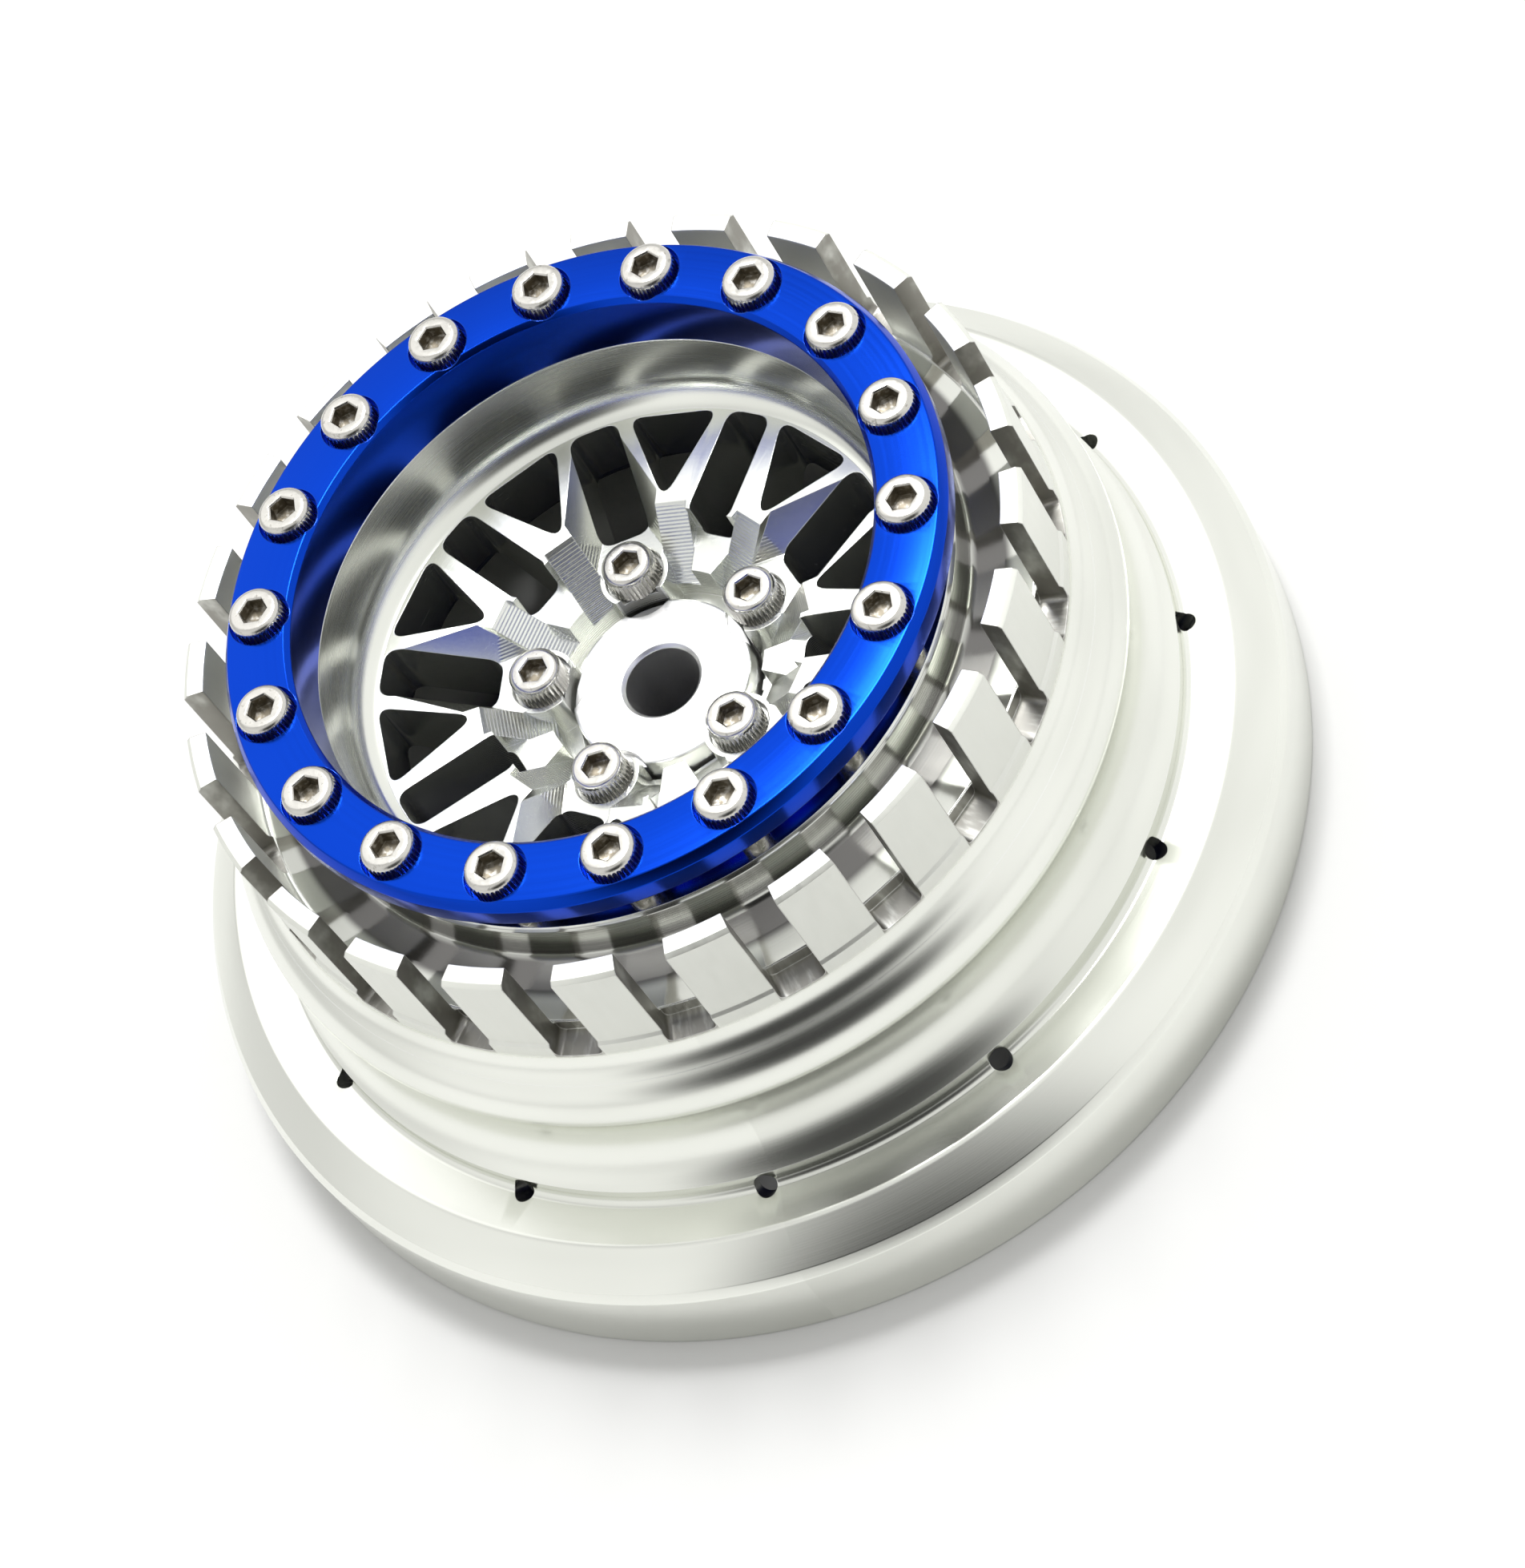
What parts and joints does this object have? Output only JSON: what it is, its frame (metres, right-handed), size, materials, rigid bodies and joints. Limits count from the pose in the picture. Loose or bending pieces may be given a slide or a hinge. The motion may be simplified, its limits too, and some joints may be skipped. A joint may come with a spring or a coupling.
{
  "type": "beadlock wheel",
  "caption": "Machined alloy wheel for a large model car: forked spokes, slotted tyre collar, wide rear flange and a blue clamp ring held by cap screws.",
  "frame": {"origin": "on the wheel axis, in the plane of the rear flange's edge that the wheel stands on", "axes": "+Z along the wheel axis towards the clamp ring, +X through one ring screw"},
  "size_m": [0.093, 0.093, 0.0413],
  "materials": {
    "rim_metal": "bright machined, polished in the drop centre and satin on the collar",
    "ring_blue": "blue anodised",
    "screw_steel": "bright stainless",
    "hub_metal": "fine turned"
  },
  "bodies": {
    "root": {"wheel_rim": "rim_metal", "clamp_ring": "ring_blue", "ring_screws": "screw_steel", "hex_hub": "hub_metal", "hub_screws": "screw_steel"}
  },
  "joints": []
}
